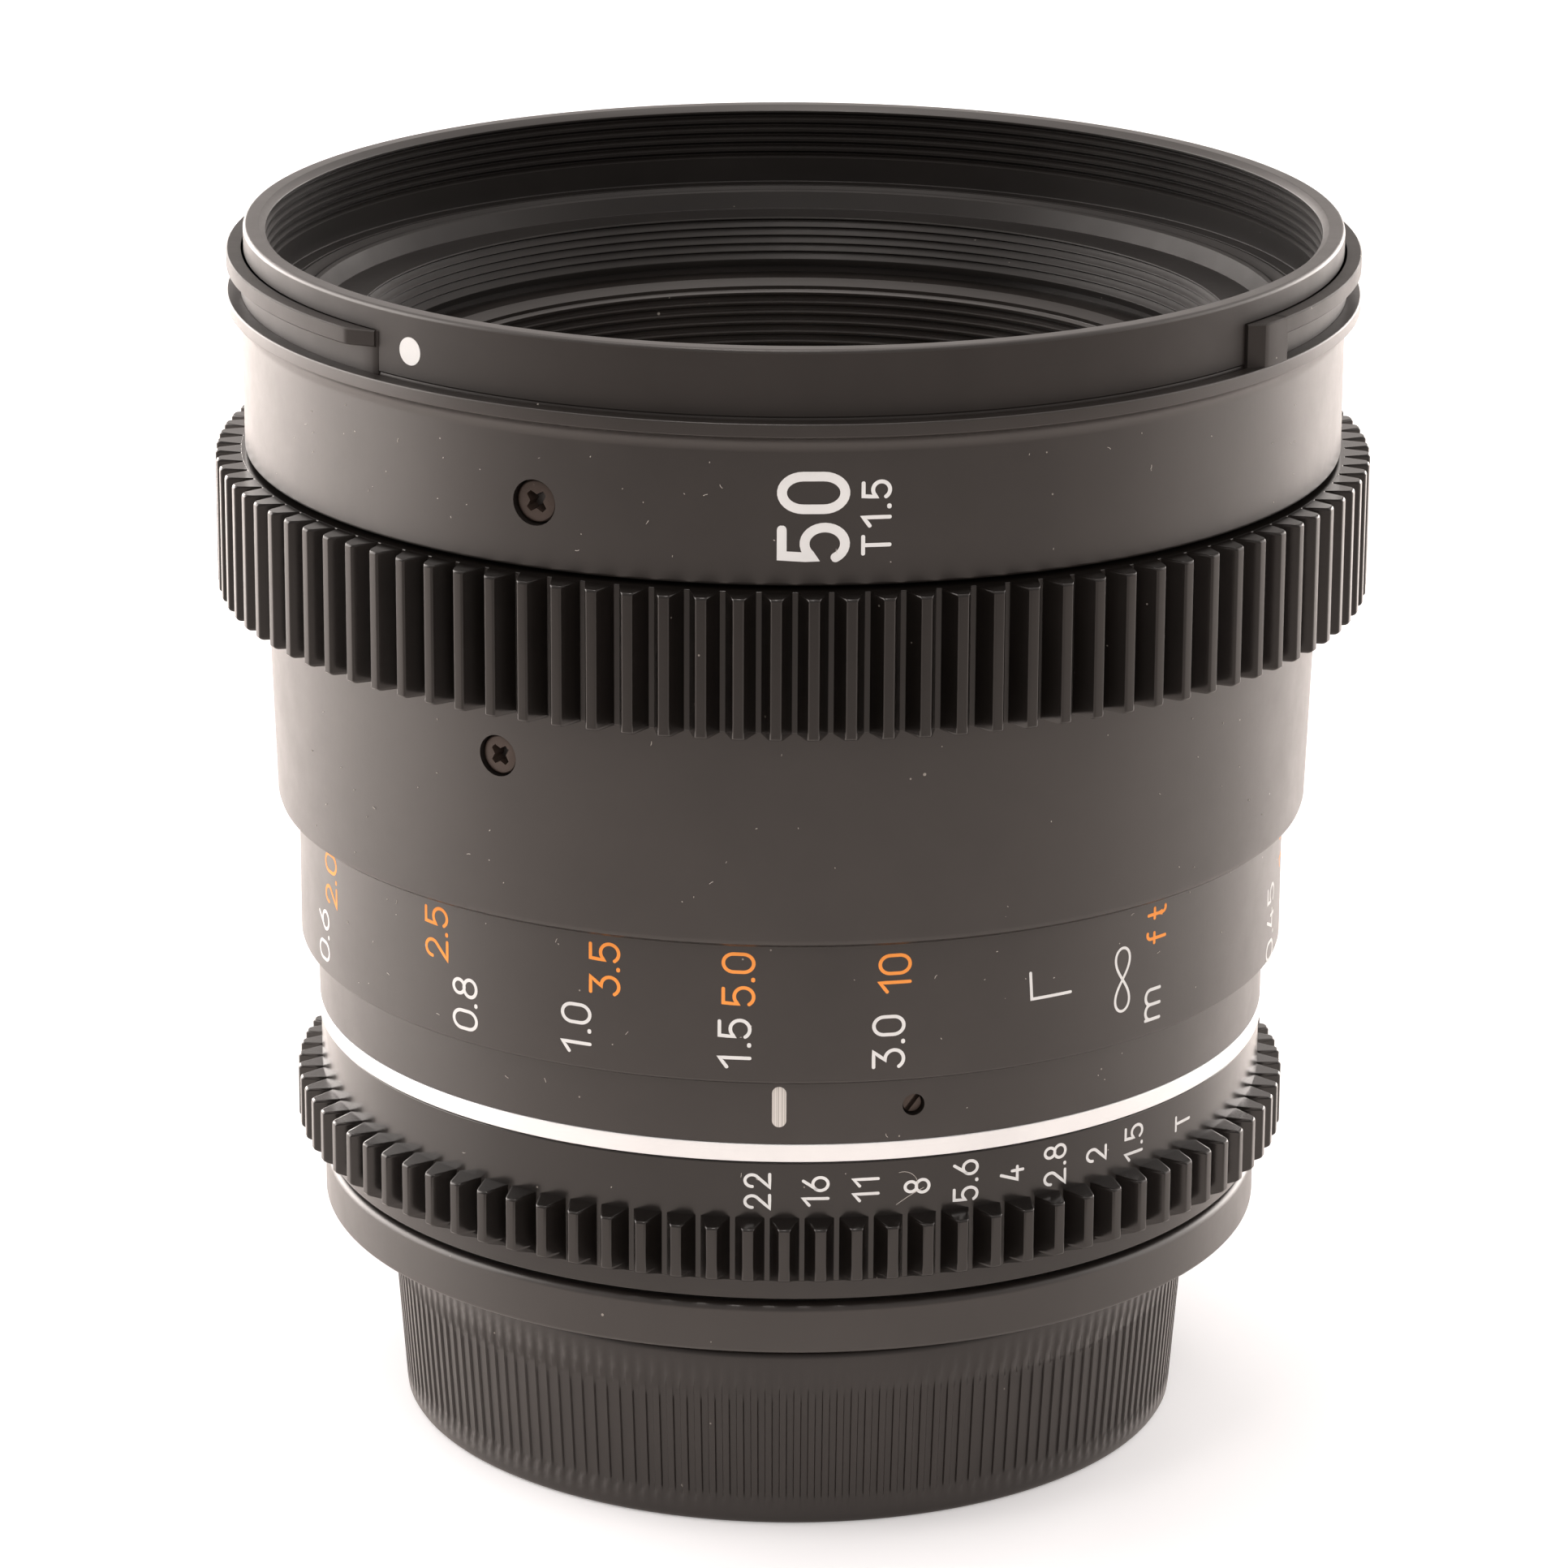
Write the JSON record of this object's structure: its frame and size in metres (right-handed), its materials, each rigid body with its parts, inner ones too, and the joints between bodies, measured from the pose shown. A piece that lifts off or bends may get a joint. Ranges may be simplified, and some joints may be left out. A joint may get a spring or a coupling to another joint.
{
  "type": "cinema prime lens",
  "caption": "Manual cinema prime lens with geared focus and iris rings, printed scales, a bladed iris, a stepped front well for filters and a bayonet mount under its rear cap.",
  "frame": {"origin": "centre of the rear cap's base, on the lens axis", "axes": "+Z along the lens axis towards the front, -Y towards the index bar and the scales, +X to the right of the scales"},
  "size_m": [0.084, 0.084, 0.09],
  "materials": {
    "black_anodised": "matt black anodising",
    "gear_black": "black, half gloss",
    "bright_aluminium": "fine turned",
    "mount_steel": "ground",
    "black_screws": "blackened",
    "blade_steel": "blackened",
    "roller_brass": "turned",
    "cap_plastic": "matt, moulded",
    "white_paint": "paint",
    "coated_glass": "coated"
  },
  "bodies": {
    "housing": {"mount_flange": "mount_steel", "mount_screws": "mount_steel", "rear_baffle": "black_anodised", "rear_collar": "black_anodised", "guide_tube": "black_anodised", "index_band": "black_anodised", "index_bar": "bright_aluminium", "band_set_screws": "black_screws", "silver_ring": "bright_aluminium", "focus_retaining_ring": "black_anodised", "focus_stop": "mount_steel", "front_barrel": "black_anodised", "stepped_baffle": "black_anodised", "front_barrel_screws": "black_screws", "hood_index_dot": "white_paint"},
    "focus_control": {"focus_grip_ring": "black_anodised", "focus_gear_ring": "gear_black", "focus_ring_screws": "black_screws", "cam_sleeve": "black_anodised"},
    "iris_control": {"iris_ring": "black_anodised", "iris_fork": "mount_steel"},
    "optical_unit": {"optics_barrel": "black_anodised", "cam_rollers": "roller_brass", "roller_screws": "mount_steel", "front_cell": "black_anodised", "front_element": "coated_glass", "second_element": "coated_glass", "third_element": "coated_glass", "front_retaining_ring": "black_anodised", "cell_lock_ring": "black_anodised", "iris_cam_plate": "black_anodised", "iris_cover": "black_anodised", "cover_screws": "mount_steel", "rear_cell": "black_anodised", "fourth_element": "coated_glass", "fifth_element": "coated_glass", "sixth_element": "coated_glass", "seventh_element": "coated_glass", "rear_spacers": "black_anodised", "rear_retaining_ring": "black_anodised"},
    "iris_drive": {"iris_drive_ring": "black_anodised", "iris_drive_pin": "mount_steel"},
    "cap": {"rear_cap": "cap_plastic"},
    "blade_1": {"iris_blade_1": "blade_steel"},
    "blade_2": {"iris_blade_2": "blade_steel"},
    "blade_3": {"iris_blade_3": "blade_steel"},
    "blade_4": {"iris_blade_4": "blade_steel"},
    "blade_5": {"iris_blade_5": "blade_steel"},
    "blade_6": {"iris_blade_6": "blade_steel"},
    "blade_7": {"iris_blade_7": "blade_steel"},
    "blade_8": {"iris_blade_8": "blade_steel"}
  },
  "joints": [
    {"name": "focus_turn", "type": "hinge", "parent": "housing", "child": "focus_control", "pos_m": [0, 0, 0.058], "axis": [0, 0, 1], "range_deg": [-34, 104]},
    {"name": "focus_travel", "type": "slide", "parent": "housing", "child": "optical_unit", "axis": [0, 0, 1], "range_m": [-0.00188, 0.00573]},
    {"name": "iris_turn", "type": "hinge", "parent": "housing", "child": "iris_control", "pos_m": [0, 0, 0.025], "axis": [0, 0, 1], "range_deg": [-45.9, 2.5]},
    {"name": "iris_drive_turn", "type": "hinge", "parent": "optical_unit", "child": "iris_drive", "pos_m": [0, 0, 0.0354], "axis": [0, 0, 1], "range_deg": [-46, 2.6]},
    {"name": "blade_1_swing", "type": "hinge", "parent": "iris_drive", "child": "blade_1", "pos_m": [0, -0.0222, 0.0361], "axis": [0, 0, 1], "range_deg": [-1.75, 31.1]},
    {"name": "blade_2_swing", "type": "hinge", "parent": "iris_drive", "child": "blade_2", "pos_m": [0.0157, -0.0157, 0.0364], "axis": [0, 0, 1], "range_deg": [-1.75, 31.1]},
    {"name": "blade_3_swing", "type": "hinge", "parent": "iris_drive", "child": "blade_3", "pos_m": [0.0222, 0, 0.0367], "axis": [0, 0, 1], "range_deg": [-1.75, 31.1]},
    {"name": "blade_4_swing", "type": "hinge", "parent": "iris_drive", "child": "blade_4", "pos_m": [0.0157, 0.0157, 0.037], "axis": [0, 0, 1], "range_deg": [-1.75, 31.1]},
    {"name": "blade_5_swing", "type": "hinge", "parent": "iris_drive", "child": "blade_5", "pos_m": [0, 0.0222, 0.0373], "axis": [0, 0, 1], "range_deg": [-1.75, 31.1]},
    {"name": "blade_6_swing", "type": "hinge", "parent": "iris_drive", "child": "blade_6", "pos_m": [-0.0157, 0.0157, 0.0376], "axis": [0, 0, 1], "range_deg": [-1.75, 31.1]},
    {"name": "blade_7_swing", "type": "hinge", "parent": "iris_drive", "child": "blade_7", "pos_m": [-0.0222, 0, 0.0379], "axis": [0, 0, 1], "range_deg": [-1.75, 31.1]},
    {"name": "blade_8_swing", "type": "hinge", "parent": "iris_drive", "child": "blade_8", "pos_m": [-0.0157, -0.0157, 0.0382], "axis": [0, 0, 1], "range_deg": [-1.75, 31.1]},
    {"name": "cap_twist", "type": "hinge", "parent": "housing", "child": "cap", "pos_m": [0, 0, 0.012], "axis": [0, 0, -1], "range_deg": [0, 60]}
  ],
  "couplings": [
    {"joint": "focus_travel", "follows": "focus_turn", "m_per_rad": 0.0031513},
    {"joint": "iris_drive_turn", "follows": "iris_turn", "ratio": 1},
    {"joint": "blade_1_swing", "follows": "iris_turn", "ratio": -0.676},
    {"joint": "blade_2_swing", "follows": "iris_turn", "ratio": -0.676},
    {"joint": "blade_3_swing", "follows": "iris_turn", "ratio": -0.676},
    {"joint": "blade_4_swing", "follows": "iris_turn", "ratio": -0.676},
    {"joint": "blade_5_swing", "follows": "iris_turn", "ratio": -0.676},
    {"joint": "blade_6_swing", "follows": "iris_turn", "ratio": -0.676},
    {"joint": "blade_7_swing", "follows": "iris_turn", "ratio": -0.676},
    {"joint": "blade_8_swing", "follows": "iris_turn", "ratio": -0.676}
  ]
}
